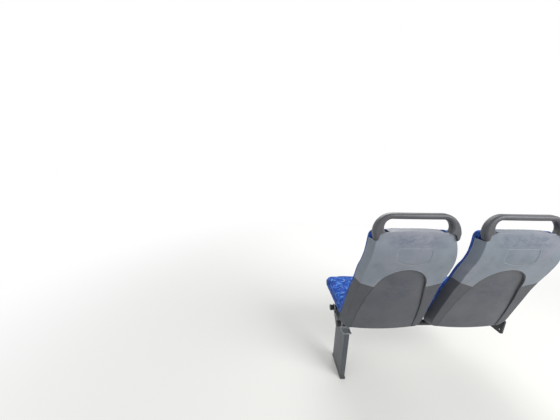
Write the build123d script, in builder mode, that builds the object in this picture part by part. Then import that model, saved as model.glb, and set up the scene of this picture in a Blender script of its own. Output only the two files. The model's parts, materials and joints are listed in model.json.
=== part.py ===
# Double passenger seat of a city bus: two moulded seats on one steel underframe.
# Millimetres. +X runs from the aisle to the window, +Y the way the passengers face, +Z up.
# The origin is the middle of the two bolt holes in the foot plate, on the floor.
# Heights are above the floor. Places ahead of back_edge_y are written as local y.
from build123d import *
import math
import os

# Layout
bar_z = 307.0  # middle of the crossbars; the seats stand on them
seat_spacing = 463.0
aisle_seat_x = 173.0
seats = {"aisle": aisle_seat_x, "window": aisle_seat_x + seat_spacing}
back_edge_y = -82.0  # rear lower edge of the back covers
fit_gap = 0.3

# Back rest: side profile of three straight runs with bends between, bowed about an upright axis
back_bottom_z = bar_z + 18.0
back_top_z = bar_z + 605.0
knee_bend_z = bar_z + 293.0
bend_z = bar_z + 501.0
recline_deg = 17.1
middle_deg = 21.5
upper_deg = -9.7  # the top leans forward
bend_radius = 190.0
bow_radius = 3200.0  # at the rear lower edge
bow_half_deg = 6.0

# Back rest: outline from behind, as half widths at five heights
side_taper_deg = 17.0
outline_front = 130.0
bottom_half_width = 202.0
knee_half_width = 197.5
knee_z = bar_z + 183.0
waist_half_width = 187.5
waist_z = bar_z + 345.0
chest_half_width = 182.0
chest_z = back_top_z - 124.0
top_half_width = 118.0
top_margin = 100.0  # the outline is drawn this far past the back's top
bottom_sag = 21.0
top_crown = 24.5  # drop of the top edge, crown_half_width to the side
crown_half_width = 280.0
bottom_corner_radius = 6.0
top_corner_radius = 24.0
top_corner_half_width = 159.0
top_corner_shoulder = 9.0  # the corner's side spreads by this down to the lugs
waist_radius = 77.0
rim_radius = 3.0  # rounding where the cover's sides meet its rear surface

# Layers of the back, as depths ahead of its rear surface
cover_wall = 3.5
cover_depth = 42.0
board_rear = 34.0
board_inset = 7.0
board_drop = 48.0  # from the cover's top
pad_front = 68.0
pad_inset = 1.5
pad_corner_z = back_top_z - 62.0
pad_corner_half_width = 172.0
back_pad_bottom_z = bar_z + 65.0

# Split between the light and the dark cover, and the knee panel in its arch
joint_gap = 1.0
split_foot_z = bar_z + 320.0
arch_radius = 117.5
arch_top_z = bar_z + 429.0
knee_spread_deg = 18.0
knee_foot_half_width = 163.0
knee_foot_z = bar_z + 33.0
knee_recess = 11.0
knee_wall = 3.0

# Shallow bare field above the arch, with a curved lower edge
field_left = 76.0
field_right = 71.0
field_gap = 29.0  # above the arch
field_sag = 20.0
field_height = 77.0
field_corner = 9.0
field_recess = 1.6

# Grab handle: a rounded hoop on two lugs at the cover's top corners, with tangs behind the cover
handle_rise = 71.0  # above the cover's top
handle_band = 23.5
handle_half_width = 183.0
handle_lug_half_width = 175.0
handle_lug_drop = 40.0  # from the cover's top
handle_lug_inner = 128.0
handle_lug_corner = 13.0
handle_corner = 80.0
handle_edge_radius = 11.0
handle_proud = 9.0  # behind the cover's rear surface
handle_depth = 34.0
grip_half_width = 140.0
grip_rise = 9.0
grip_foot_drop = 14.0
grip_corner = 34.0
slot_half_width = 113.0
tang_drop = 112.0
tang_outer = 160.0
tang_inner = 130.0
tang_corner = 4.0

# Cushion and pan, on a plane that rises to the front
seat_rake_deg = 4.0
rail_height = 40.0  # from the bars' middle to the pan's underside at the rails' rear end
pan_rear_y = 48.0
pan_wall = 4.0
pan_rim = 20.0
pan_inset = 6.0
seat_rear_y = 56.0
seat_rear_bow = 6.0
seat_front_y = 387.0
seat_front_bow = 12.0
seat_front_half_width = 212.0
seat_rear_half_width = 198.0
seat_front_corner = 46.0
seat_rear_corner = 14.0
seat_pad_thickness = 47.0

# Underframe
bar_radius = 15.0
bar_wall = 2.5
bar_clearance = 7.0  # from the rear bar to the back cover
bar_spacing = 134.0
bar_overhang = 216.0  # from the aisle seat's middle to the bar's aisle end
cap_radius = 16.5
cap_length = 7.0
cap_plug_length = 16.0
cap_edge_radius = 2.5
rail_x = 100.0
rail_width = 30.0
rail_rear_y = 28.0
rail_low_y = cover_depth + 6.0
rail_front_y = 332.0
rail_wall = 3.0
rail_cover = 7.0  # the rails reach down to this height above the bars' middle
upright_width = 25.0
upright_rear = 24.0
upright_drop = 62.0  # from the cover's top
leg_outer = 186.0  # from the aisle seat's middle to the leg's aisle face
leg_thickness = 26.0
leg_wall = 3.0
leg_depth = 150.0
leg_flare_z = 215.0
leg_edge_radius = 4.0
saddle_width = 44.0
saddle_thickness = 5.0
cradle_length = 46.0
foot_width = 30.0
foot_length = 168.0
foot_thickness = 6.0
foot_corner = 5.0
foot_hole_radius = 5.5
foot_hole_spacing = 120.0
wall_x = aisle_seat_x + seat_spacing + 236.0
wall_plate_thickness = 8.0
wall_plate_length = 236.0
wall_plate_height = 84.0
wall_hole_radius = 5.5
wall_hole_y = 200.0
wall_hole_z = 48.0
socket_wall = 4.0
socket_length = 34.0

taper = math.tan(math.radians(side_taper_deg))
bow_axis_y = back_edge_y + bow_radius
rear_bar_y = cover_depth + bar_clearance + bar_radius
front_bar_y = rear_bar_y + bar_spacing
pan_low_z = bar_z + rail_height
handle_top_z = back_top_z + handle_rise
handle_lug_z = back_top_z - handle_lug_drop


def rear_depth(z):
    # local y of the rear surface on the seat's middle plane
    lower = min(z, knee_bend_z) - back_bottom_z
    middle = min(max(z - knee_bend_z, 0), bend_z - knee_bend_z)
    upper = max(z - bend_z, 0)
    return (-lower * math.tan(math.radians(recline_deg)) - middle * math.tan(math.radians(middle_deg))
            - upper * math.tan(math.radians(upper_deg)))


def bow_at(x, z):
    # how far the bowed rear surface comes forward at x
    r = bow_radius - rear_depth(z)
    return r - math.sqrt(r * r - x * x)


def on_front(half_width, z):
    # half width on the outline's front plane that tapers to half_width at the rear surface
    return half_width + (outline_front - rear_depth(z) - bow_at(half_width, z)) * taper


def profile_plane(x, turn_deg):
    a = math.radians(turn_deg)
    return Plane(origin=(x, bow_axis_y, 0), x_dir=(math.sin(a), -math.cos(a), 0),
                 z_dir=(-math.cos(a), -math.sin(a), 0))


def bowed_slab(x, rear_points, front_points):
    # solid between two side profiles, swept about the upright bow axis; points are (local y, z)
    with BuildPart() as slab:
        with BuildSketch(profile_plane(x, -bow_half_deg)):
            with BuildLine():
                rear = [(bow_radius - y, z) for y, z in rear_points]
                front = [(bow_radius - y, z) for y, z in front_points]
                FilletPolyline(*rear, radius=bend_radius)
                FilletPolyline(*front, radius=bend_radius)
                Line(rear[0], front[0])
                Line(rear[-1], front[-1])
            make_face()
        revolve(axis=Axis((x, bow_axis_y, 0), (0, 0, 1)), revolution_arc=2 * bow_half_deg)
    return slab.part


def profile(depth, low_z=back_bottom_z - 60, knee=0.0):
    # rear surface moved forward by depth, and by up to knee more towards the bend
    top_z = back_top_z + 90
    return [(rear_depth(low_z) + depth, low_z), (rear_depth(knee_bend_z) + depth + 0.7 * knee, knee_bend_z),
            (rear_depth(bend_z) + depth + knee, bend_z), (rear_depth(top_z) + depth + knee, top_z)]


def back_outline(x, inset):
    # prism of the outline from behind: sides and bottom widen to the front, the top stays level
    reach_low = outline_front * taper
    low = on_front(bottom_half_width, back_bottom_z + bottom_sag) - inset
    low_z = back_bottom_z + bottom_sag - reach_low + inset
    knee = on_front(knee_half_width, knee_z) - inset
    waist = on_front(waist_half_width, waist_z) - inset
    chest = on_front(chest_half_width, chest_z) - inset
    top = on_front(top_half_width, back_top_z) - inset
    top_z = back_top_z + top_margin
    with BuildPart() as prism:
        with BuildSketch(from_behind(x)) as outline:
            with BuildLine():
                ThreePointArc((x - low, low_z), (x, low_z - bottom_sag), (x + low, low_z))
                ThreePointArc((x + low, low_z), (x + knee, knee_z), (x + waist, waist_z))
                ThreePointArc((x + waist, waist_z), (x + chest, chest_z), (x + top, top_z))
                Line((x + top, top_z), (x - top, top_z))
                ThreePointArc((x - top, top_z), (x - chest, chest_z), (x - waist, waist_z))
                ThreePointArc((x - waist, waist_z), (x - knee, knee_z), (x - low, low_z))
            make_face()
            fillet(outline.vertices().group_by(Axis.Y)[1], waist_radius)
            fillet(outline.vertices().group_by(Axis.Y)[0], bottom_corner_radius + reach_low)
        extrude(amount=outline_front + 200, taper=side_taper_deg)
        with BuildSketch(from_behind(x)):
            with BuildLine():
                crown_z = back_top_z - inset
                left = x - crown_half_width
                right = x + crown_half_width
                ThreePointArc((left, crown_z - top_crown), (x, crown_z), (right, crown_z - top_crown))
                Polyline((right, crown_z - top_crown), (right, top_z + 60), (left, top_z + 60),
                         (left, crown_z - top_crown))
            make_face()
        extrude(amount=400, mode=Mode.SUBTRACT)
    return prism.part


def back_form(x, rear, front, inset, low_z=back_bottom_z - 60):
    # slice of the back between two depths, inside the outline by inset
    with BuildPart() as form:
        add(bowed_slab(x, profile(rear, low_z), profile(front, low_z)))
        add(back_outline(x, inset), mode=Mode.INTERSECT)
    return form.part


def from_behind(x, y=outline_front):
    # plane that faces rearward, for outlines drawn as seen from behind
    return Plane.XZ.offset(-back_edge_y - y)


def rounded_top(x, low_z, shoulder, half_width, grow=0.0):
    # region inside the back's two rounded top corners; nothing is cut below low_z
    end_z = back_top_z + grow - top_crown * (half_width / crown_half_width) ** 2
    half = half_width + grow
    low = half + shoulder
    with BuildSketch(from_behind(x)) as region:
        with BuildLine():
            ThreePointArc((x - half, end_z), (x, back_top_z + grow), (x + half, end_z))
            Polyline((x + half, end_z), (x + low, low_z), (x + 400, low_z), (x + 400, 0), (x - 400, 0),
                     (x - 400, low_z), (x - low, low_z), (x - half, end_z))
        make_face()
        corners = [v for v in region.vertices() if abs(v.Y - end_z) < 0.01]
        fillet(corners, top_corner_radius + grow)
    return region.sketch


def knee_outline(x, grow):
    # arch of the knee panel: a round top on two sides that swell out and end upright at the foot
    r = arch_radius + grow
    centre_z = arch_top_z - arch_radius
    spread = math.radians(knee_spread_deg)
    tx = r * math.cos(spread)
    tz = centre_z + r * math.sin(spread)
    foot = knee_foot_half_width + grow
    low_z = back_bottom_z - 60
    with BuildSketch(from_behind(x)) as outline:
        with BuildLine():
            ThreePointArc((x - tx, tz), (x, centre_z + r), (x + tx, tz))
            TangentArc((x + tx, tz), (x + foot, knee_foot_z), tangent=(math.sin(spread), -math.cos(spread)))
            Polyline((x + foot, knee_foot_z), (x + foot, low_z), (x - foot, low_z), (x - foot, knee_foot_z))
            TangentArc((x - tx, tz), (x - foot, knee_foot_z), tangent=(-math.sin(spread), -math.cos(spread)))
        make_face()
    return outline.sketch


def cover_shell(x):
    # open moulding: rear wall and a return wall round its edge
    skin = bowed_slab(x, profile(-5), profile(0))
    with BuildPart() as shell:
        add(back_form(x, 0, cover_depth, 0))
        rim = [edge for edge in shell.edges() if edge.geom_type != GeomType.CIRCLE
               and all(skin.distance_to(edge @ t) < 0.01 for t in (0, 0.5, 1))]
        fillet(rim, rim_radius)
        add(back_form(x, cover_wall, outline_front, cover_wall), mode=Mode.SUBTRACT)
    return shell.part


def bare_field(x):
    # shallow recess in the light cover, following its rear surface
    side_z = arch_top_z + field_gap + field_sag
    top_z = arch_top_z + field_gap + field_height
    middle = x + (field_right - field_left) / 2
    with BuildPart() as field:
        add(bowed_slab(x, profile(-5), profile(field_recess)))
        with BuildSketch(from_behind(x)) as outline:
            with BuildLine():
                ThreePointArc((x - field_left, side_z), (middle, side_z - field_sag), (x + field_right, side_z))
                Polyline((x + field_right, side_z), (x + field_right, top_z), (x - field_left, top_z),
                         (x - field_left, side_z))
            make_face()
            fillet(outline.vertices(), field_corner)
        extrude(amount=400, mode=Mode.INTERSECT)
    return field.part


def split_region(x, gap):
    # everything above the joint between the light and the dark cover
    with BuildSketch(from_behind(x)) as region:
        with BuildLine():
            Polyline((x - arch_radius, split_foot_z + gap), (x - waist_half_width, waist_z + gap),
                     (x - 300, waist_z + 60 + gap), (x - 300, 1100), (x + 300, 1100),
                     (x + 300, waist_z + 60 + gap), (x + waist_half_width, waist_z + gap),
                     (x + arch_radius, split_foot_z + gap), close=True)
        make_face()
    return region.sketch


def knee_floor(depth):
    # profile of the knee panel's floor, deepest at the bend
    return profile(depth, knee=knee_recess)


def knee_pocket(x, grow):
    # space that the knee panel takes out of the covers
    with BuildPart() as pocket:
        add(bowed_slab(x, profile(-40), knee_floor(cover_wall + grow)))
        extrude(knee_outline(x, grow), amount=400, mode=Mode.INTERSECT)
    return pocket.part


def seat_plane(x, lift=0.0):
    # plane of the pan's underside, rising to the front
    a = math.radians(seat_rake_deg)
    base = Plane(origin=(x, back_edge_y + rail_rear_y, pan_low_z), x_dir=(1, 0, 0),
                 z_dir=(0, -math.sin(a), math.cos(a)))
    return base.offset(lift)


def seat_outline(x, lift, inset, rear_y):
    # cushion outline on the raked plane; rear edge bowed to follow the back
    rear = (rear_y - rail_rear_y) / math.cos(math.radians(seat_rake_deg))
    front = (seat_front_y - rail_rear_y) / math.cos(math.radians(seat_rake_deg))
    w0 = seat_rear_half_width
    w1 = seat_front_half_width
    with BuildSketch(seat_plane(x, lift)) as outline:
        with BuildLine():
            ThreePointArc((-w0, rear + seat_rear_bow), (0, rear), (w0, rear + seat_rear_bow))
            Line((w0, rear + seat_rear_bow), (w1, front - seat_front_bow))
            ThreePointArc((w1, front - seat_front_bow), (0, front), (-w1, front - seat_front_bow))
            Line((-w1, front - seat_front_bow), (-w0, rear + seat_rear_bow))
        make_face()
        fillet(outline.vertices().group_by(Axis.Y)[-1], seat_front_corner)
        fillet(outline.vertices().group_by(Axis.Y)[0], seat_rear_corner)
        if inset:
            offset(amount=-inset, mode=Mode.REPLACE)
    return outline.sketch


def export(part, name):
    part.label = name
    export_step(part, f"parts/{name}.step")


os.makedirs("parts", exist_ok=True)

rail_low_z = bar_z + rail_cover

for seat, x in seats.items():
    shell = cover_shell(x)
    pocket = knee_pocket(x, joint_gap)
    lug_low_z = handle_lug_z - joint_gap

    with BuildPart() as lug_notch:
        add(bowed_slab(x, profile(cover_wall), profile(outline_front)))
        with BuildSketch(from_behind(x)):
            with Locations((x, lug_low_z)):
                Rectangle(600, 200, align=(Align.CENTER, Align.MIN))
                Rectangle(2 * slot_half_width, 200, align=(Align.CENTER, Align.MIN), mode=Mode.SUBTRACT)
        extrude(amount=400, mode=Mode.INTERSECT)
    with BuildPart() as back_upper_cover:
        add(shell)
        extrude(split_region(x, joint_gap / 2), amount=400, mode=Mode.INTERSECT)
        extrude(knee_outline(x, joint_gap), amount=400, mode=Mode.SUBTRACT)
        add(lug_notch.part, mode=Mode.SUBTRACT)
        extrude(rounded_top(x, lug_low_z, top_corner_shoulder, top_corner_half_width), amount=400,
                mode=Mode.INTERSECT)
        add(bare_field(x), mode=Mode.SUBTRACT)
    export(back_upper_cover.part, f"{seat}_back_upper_cover")

    with BuildPart() as back_lower_cover:
        add(shell)
        extrude(split_region(x, -joint_gap / 2), amount=400, mode=Mode.SUBTRACT)
        add(pocket, mode=Mode.SUBTRACT)
    export(back_lower_cover.part, f"{seat}_back_lower_cover")

    with BuildPart() as dish:
        add(bowed_slab(x, profile(-40), knee_floor(0)))
        extrude(knee_outline(x, -knee_wall), amount=400, mode=Mode.INTERSECT)
    with BuildPart() as knee_panel:
        add(bowed_slab(x, profile(0), knee_floor(cover_wall)))
        extrude(knee_outline(x, 0), amount=400, mode=Mode.INTERSECT)
        add(back_outline(x, 0), mode=Mode.INTERSECT)
        add(dish.part, mode=Mode.SUBTRACT)
    export(knee_panel.part, f"{seat}_knee_panel")

    with BuildPart() as back_board:
        add(back_form(x, board_rear, cover_depth, board_inset, low_z=back_pad_bottom_z - 6))
        with BuildSketch(Plane.XY.offset(back_top_z - board_drop)):
            with Locations((x, back_edge_y)):
                Rectangle(600, 600)
        extrude(amount=200, mode=Mode.SUBTRACT)
    export(back_board.part, f"{seat}_back_board")

    with BuildPart() as back_pad:
        add(back_form(x, cover_depth, pad_front, pad_inset, low_z=back_pad_bottom_z))
        extrude(rounded_top(x, pad_corner_z, 30, pad_corner_half_width), amount=400, mode=Mode.INTERSECT)
    export(back_pad.part, f"{seat}_back_pad")

    # half outline of the hoop from the lug up and over, and back along the grip, with corner radii
    grip_foot_z = handle_lug_z + handle_lug_drop - grip_foot_drop
    hoop = [(handle_lug_half_width, handle_lug_z, handle_lug_corner), (handle_half_width, handle_lug_z + 32, 24),
            (handle_half_width - 13, handle_top_z, handle_corner)]
    grip = [(grip_half_width, handle_top_z - handle_band, grip_corner), (grip_half_width, back_top_z + grip_rise, 14),
            (handle_lug_inner, grip_foot_z, 14), (handle_lug_inner, handle_lug_z, handle_lug_corner)]
    right = [(x + px, pz) for px, pz, r in hoop]
    left = [(x - px, pz) for px, pz, r in reversed(hoop)]
    inner_left = [(x - px, pz) for px, pz, r in reversed(grip)]
    inner_right = [(x + px, pz) for px, pz, r in grip]
    with BuildPart() as tangs:
        add(bowed_slab(x, profile(cover_wall + fit_gap), profile(board_rear)))
        with BuildSketch(from_behind(x)):
            with Locations(((x + (tang_outer + tang_inner) / 2), (handle_lug_z + back_top_z - tang_drop) / 2 + 10),
                           ((x - (tang_outer + tang_inner) / 2), (handle_lug_z + back_top_z - tang_drop) / 2 + 10)):
                RectangleRounded(tang_outer - tang_inner, tang_drop - handle_lug_drop + 20, tang_corner)
        extrude(amount=400, mode=Mode.INTERSECT)
    with BuildPart() as cover_space:
        add(back_form(x, -40, cover_wall + fit_gap, -fit_gap))
        extrude(rounded_top(x, lug_low_z, top_corner_shoulder, top_corner_half_width, fit_gap), amount=400,
                mode=Mode.INTERSECT)
    with BuildPart() as grab_handle:
        with BuildSketch(from_behind(x)) as outline:
            with BuildLine():
                Polyline(*right, *left, *inner_left, *inner_right, close=True)
            make_face()
            for px, pz, r in hoop + grip:
                at_corner = lambda v: abs(abs(v.X - x) - px) < 0.01 and abs(v.Y - pz) < 0.01
                fillet(outline.vertices().filter_by(at_corner), r)
        extrude(amount=400)
        add(bowed_slab(x, profile(-handle_proud), profile(handle_depth - handle_proud)), mode=Mode.INTERSECT)
        through = grab_handle.edges().filter_by(Axis.Y).filter_by(GeomType.LINE)
        fillet([edge for edge in grab_handle.edges() if edge not in through], handle_edge_radius)
        add(cover_space.part, mode=Mode.SUBTRACT)
        add(tangs.part)
    export(grab_handle.part, f"{seat}_grab_handle")

    with BuildPart() as seat_pan:
        extrude(seat_outline(x, 0, pan_inset, pan_rear_y), amount=pan_rim)
        extrude(seat_outline(x, pan_wall, pan_inset + pan_wall, pan_rear_y), amount=pan_rim, mode=Mode.SUBTRACT)
    export(seat_pan.part, f"{seat}_seat_pan")

    with BuildPart() as seat_pad:
        extrude(seat_outline(x, pan_wall, 0, seat_rear_y), amount=seat_pad_thickness)
        add(seat_pan.part, mode=Mode.SUBTRACT)
    export(seat_pad.part, f"{seat}_seat_pad")

    with BuildPart() as pan_rails:
        with BuildSketch(Plane.YZ.offset(x + rail_x - rail_width / 2)):
            rise = math.tan(math.radians(seat_rake_deg))
            y0 = back_edge_y
            with BuildLine():
                Polyline((y0 + rail_rear_y, pan_low_z), (y0 + rail_rear_y, pan_low_z - rail_wall),
                         (y0 + rail_low_y, pan_low_z - rail_wall), (y0 + rail_low_y, rail_low_z),
                         (y0 + front_bar_y + 24, rail_low_z),
                         (y0 + rail_front_y, pan_low_z + (rail_front_y - rail_rear_y) * rise - 10),
                         (y0 + rail_front_y, pan_low_z + (rail_front_y - rail_rear_y) * rise), close=True)
            make_face()
            with Locations((y0 + rear_bar_y, bar_z), (y0 + front_bar_y, bar_z)):
                Circle(bar_radius, mode=Mode.SUBTRACT)
        extrude(amount=rail_width)
        with BuildSketch(Plane.YZ.offset(x + rail_x - rail_width / 2 + rail_wall)):
            web = pan_low_z - rail_wall / math.cos(math.radians(seat_rake_deg))
            with BuildLine():
                Polyline((y0 + rail_rear_y, web), (y0 + rail_rear_y, rail_low_z - 50),
                         (y0 + rail_front_y, rail_low_z - 50),
                         (y0 + rail_front_y, web + (rail_front_y - rail_rear_y) * rise), close=True)
            make_face()
        extrude(amount=rail_width - 2 * rail_wall, mode=Mode.SUBTRACT)
        mirror(about=Plane.YZ.offset(x))
    export(pan_rails.part, f"{seat}_pan_rails")

    with BuildPart() as back_uprights:
        add(back_form(x, upright_rear, board_rear, cover_wall + 2))
        with BuildSketch(from_behind(x)):
            for side in (-1, 1):
                with Locations((x + side * rail_x, back_top_z - upright_drop)):
                    Rectangle(upright_width, 700, align=(Align.CENTER, Align.MAX))
        extrude(amount=400, mode=Mode.INTERSECT)
        with BuildSketch(seat_plane(x)):
            Rectangle(600, 600)
        extrude(amount=-200, mode=Mode.SUBTRACT)
    export(back_uprights.part, f"{seat}_back_uprights")

bar_start = aisle_seat_x - bar_overhang + cap_length
bar_end = wall_x - wall_plate_thickness
for name, bar_y in {"rear_crossbar": rear_bar_y, "front_crossbar": front_bar_y}.items():
    with BuildPart() as crossbar:
        with BuildSketch(Plane.YZ.offset(bar_start)):
            with Locations((back_edge_y + bar_y, bar_z)):
                Circle(bar_radius)
                Circle(bar_radius - bar_wall, mode=Mode.SUBTRACT)
        extrude(amount=bar_end - bar_start)
    export(crossbar.part, name)

with BuildPart() as bar_caps:
    for bar_y in (rear_bar_y, front_bar_y):
        with BuildSketch(Plane.YZ.offset(bar_start)):
            with Locations((back_edge_y + bar_y, bar_z)):
                Circle(cap_radius)
        extrude(amount=-cap_length)
        fillet(bar_caps.faces().sort_by(Axis.X)[0].edges(), cap_edge_radius)
        with BuildSketch(Plane.YZ.offset(bar_start)):
            with Locations((back_edge_y + bar_y, bar_z)):
                Circle(bar_radius - bar_wall)
        extrude(amount=cap_plug_length)
export(bar_caps.part, "crossbar_caps")

leg_x = aisle_seat_x - leg_outer
saddle_top_z = bar_z - bar_radius
leg_top_z = saddle_top_z - saddle_thickness
leg_front_top = back_edge_y + front_bar_y + cradle_length / 2
with BuildPart() as pedestal_leg:
    with BuildSketch(Plane.YZ.offset(leg_x)) as side:
        with BuildLine():
            Polyline((-leg_depth / 2, foot_thickness), (leg_depth / 2, foot_thickness), (leg_depth / 2, leg_flare_z),
                     (leg_front_top, leg_top_z - 20), (leg_front_top, leg_top_z), (-leg_depth / 2, leg_top_z),
                     close=True)
        make_face()
    extrude(amount=leg_thickness)
    long_edges = pedestal_leg.edges().filter_by(Plane.YZ).filter_by(lambda edge: abs(edge.tangent_at(0).Z) > 0.5)
    fillet(long_edges, leg_edge_radius)
    with BuildSketch(Plane.YZ.offset(leg_x + leg_wall)):
        add(side.sketch_local)
        offset(amount=-leg_wall, mode=Mode.REPLACE)
        with Locations((0, foot_thickness)):
            Rectangle(leg_depth - 2 * leg_wall, 40, align=(Align.CENTER, Align.MIN))
    extrude(amount=leg_thickness - 2 * leg_wall, mode=Mode.SUBTRACT)
export(pedestal_leg.part, "pedestal_leg")

with BuildPart() as leg_saddle:
    with BuildSketch(Plane.XY.offset(leg_top_z)):
        with Locations((leg_x + leg_thickness / 2, 0)):
            with Locations((0, (leg_front_top - leg_depth / 2) / 2)):
                Rectangle(saddle_width, leg_front_top + leg_depth / 2)
    extrude(amount=saddle_thickness)
    for bar_y in (rear_bar_y, front_bar_y):
        with BuildSketch(Plane.YZ.offset(leg_x + leg_thickness / 2 - saddle_width / 2)):
            with Locations((back_edge_y + bar_y, saddle_top_z)):
                Rectangle(cradle_length, bar_radius, align=(Align.CENTER, Align.MIN))
            with Locations((back_edge_y + bar_y, bar_z)):
                Circle(bar_radius, mode=Mode.SUBTRACT)
        extrude(amount=saddle_width)
export(leg_saddle.part, "leg_saddle")

with BuildPart() as foot_plate:
    with BuildSketch():
        RectangleRounded(foot_width, foot_length, foot_corner)
        with GridLocations(0, foot_hole_spacing, 1, 2):
            Circle(foot_hole_radius, mode=Mode.SUBTRACT)
    extrude(amount=foot_thickness)
export(foot_plate.part, "foot_plate")

with BuildPart() as wall_bracket:
    plate_y = back_edge_y + (rear_bar_y + front_bar_y) / 2
    with BuildSketch(Plane.YZ.offset(wall_x)):
        with Locations((plate_y, bar_z)):
            RectangleRounded(wall_plate_length, wall_plate_height, 8)
            with GridLocations(wall_hole_y, wall_hole_z, 2, 2):
                Circle(wall_hole_radius, mode=Mode.SUBTRACT)
    extrude(amount=-wall_plate_thickness)
    with BuildSketch(Plane.YZ.offset(wall_x - wall_plate_thickness)):
        with Locations((back_edge_y + rear_bar_y, bar_z), (back_edge_y + front_bar_y, bar_z)):
            Circle(bar_radius + socket_wall)
            Circle(bar_radius, mode=Mode.SUBTRACT)
    extrude(amount=-socket_length)
export(wall_bracket.part, "wall_bracket")
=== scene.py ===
# Looks of a city bus double passenger seat, built round its CAD frame. Metres, +Z up, floor at z = 0.
import json
import math
import bmesh
import bpy
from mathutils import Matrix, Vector, kdtree


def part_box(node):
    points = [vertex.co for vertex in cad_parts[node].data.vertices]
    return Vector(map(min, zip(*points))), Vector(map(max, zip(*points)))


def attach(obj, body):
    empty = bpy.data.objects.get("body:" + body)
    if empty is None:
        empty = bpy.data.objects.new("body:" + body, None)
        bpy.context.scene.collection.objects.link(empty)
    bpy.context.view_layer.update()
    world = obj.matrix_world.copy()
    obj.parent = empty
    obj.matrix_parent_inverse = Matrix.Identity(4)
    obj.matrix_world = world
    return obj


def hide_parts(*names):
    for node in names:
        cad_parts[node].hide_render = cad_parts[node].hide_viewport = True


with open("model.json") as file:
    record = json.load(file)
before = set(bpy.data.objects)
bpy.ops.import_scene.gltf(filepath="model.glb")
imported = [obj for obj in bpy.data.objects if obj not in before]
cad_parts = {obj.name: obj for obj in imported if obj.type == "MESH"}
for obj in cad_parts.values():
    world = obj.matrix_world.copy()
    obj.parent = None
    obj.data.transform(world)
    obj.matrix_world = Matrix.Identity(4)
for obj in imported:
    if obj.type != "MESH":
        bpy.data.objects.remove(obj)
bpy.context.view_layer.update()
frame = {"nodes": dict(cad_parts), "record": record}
nodes = frame["nodes"]
seatPadLow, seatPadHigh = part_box("aisle_seat_pad")
seatMiddle = (seatPadLow.x + seatPadHigh.x) / 2
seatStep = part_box("window_seat_pad")[0].x - seatPadLow.x  # from the aisle seat to the window seat
print("frame loaded:", len(nodes), "nodes")


# Small helpers

def hexColour(text):
    # sRGB hex to the linear colour that Blender's sockets take
    channels = [int(text[i:i + 2], 16) / 255 for i in (1, 3, 5)]
    return tuple(c / 12.92 if c <= 0.04045 else ((c + 0.055) / 1.055) ** 2.4 for c in channels) + (1.0,)


def addNode(tree, kind, settings):
    # a setting is one of the node's properties, or an input: it takes a value, a hex colour,
    # another node's output, or a node, whose first output is meant
    node = tree.nodes.new(kind)
    for key, value in settings.items():
        if isinstance(key, str) and key not in node.inputs:
            setattr(node, key, value)
        elif isinstance(value, bpy.types.Node):
            tree.links.new(value.outputs[0], node.inputs[key])
        elif isinstance(value, bpy.types.NodeSocket):
            tree.links.new(value, node.inputs[key])
        elif isinstance(value, str):
            node.inputs[key].default_value = hexColour(value)
        else:
            node.inputs[key].default_value = value
    return node


def newMaterial(name):
    material = bpy.data.materials.new(name)
    material.use_nodes = True
    tree = material.node_tree
    tree.nodes.clear()
    return material, tree


def pick(*pieces):
    # selects these pieces alone; the last one is active
    if bpy.context.object and bpy.context.object.mode != "OBJECT":
        bpy.ops.object.mode_set(mode="OBJECT")
    bpy.ops.object.select_all(action="DESELECT")
    for piece in pieces:
        piece.select_set(True)
        bpy.context.view_layer.objects.active = piece


def editWhole(piece):
    # opens the piece in edit mode with all of it selected
    pick(piece)
    bpy.ops.object.mode_set(mode="EDIT")
    bpy.ops.mesh.select_all(action="SELECT")


def editFaces(piece, test):
    # opens the piece in edit mode with only the faces that pass the test selected
    pick(piece)
    bpy.ops.object.mode_set(mode="EDIT")
    bpy.ops.mesh.select_mode(type="FACE")
    bpy.ops.mesh.select_all(action="DESELECT")
    cage = bmesh.from_edit_mesh(piece.data)
    for face in cage.faces:
        face.select_set(test(face))
    bmesh.update_edit_mesh(piece.data)


def editDone():
    bpy.ops.object.mode_set(mode="OBJECT")


def addModifier(piece, kind, **settings):
    # adds a modifier and applies it at once
    pick(piece)
    bpy.ops.object.modifier_add(type=kind)
    modifier = piece.modifiers[-1]
    for key, value in settings.items():
        setattr(modifier, key, value)
    bpy.ops.object.modifier_apply(modifier=modifier.name)


def smoothShade(piece, degrees):
    pick(piece)
    bpy.ops.object.shade_smooth_by_angle(angle=math.radians(degrees))


def linkPiece(name, data):
    piece = bpy.data.objects.new(name, data)
    bpy.context.scene.collection.objects.link(piece)
    return piece


def dress(piece, material):
    # gives a new piece its finish and fixes it to the seat
    piece.data.materials.clear()
    piece.data.materials.append(material)
    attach(piece, "root")


def copyAside(piece, name, shift):
    # the same piece at its next place, with its own mesh moved there
    twin = piece.copy()
    twin.data = piece.data.copy()
    twin.name = name
    bpy.context.scene.collection.objects.link(twin)
    editWhole(twin)
    bpy.ops.transform.translate(value=shift)
    editDone()
    return twin


# Camera, floor and light

photoView = {"place": (-0.43197, -1.08755, 1.21133), "turn": (75.6587, -1.6580, -2.9537), "lens": 15.147,
             "sensor": 36, "nearest": 0.02}
studio = {"floor": "#ecebe7", "floorMiddle": (0.4, 0.0, 0.0), "floorRadius": 40, "fadeStart": 0.9,
          "fadeEnd": 3.2, "sky": "#f3f5f8", "skyLight": 0.54, "white": "#ffffff"}
studioLamps = {
    "window": {"place": (2.3, -2.0, 2.5), "aim": (0.4, -0.1, 0.6), "size": 2.4, "power": 88},
    "aisle": {"place": (-2.4, -1.6, 1.9), "aim": (0.3, -0.1, 0.5), "size": 2.4, "power": 11},
    "ahead": {"place": (0.6, 2.6, 2.6), "aim": (0.4, 0.1, 0.5), "size": 2.6, "power": 62},
}


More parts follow.
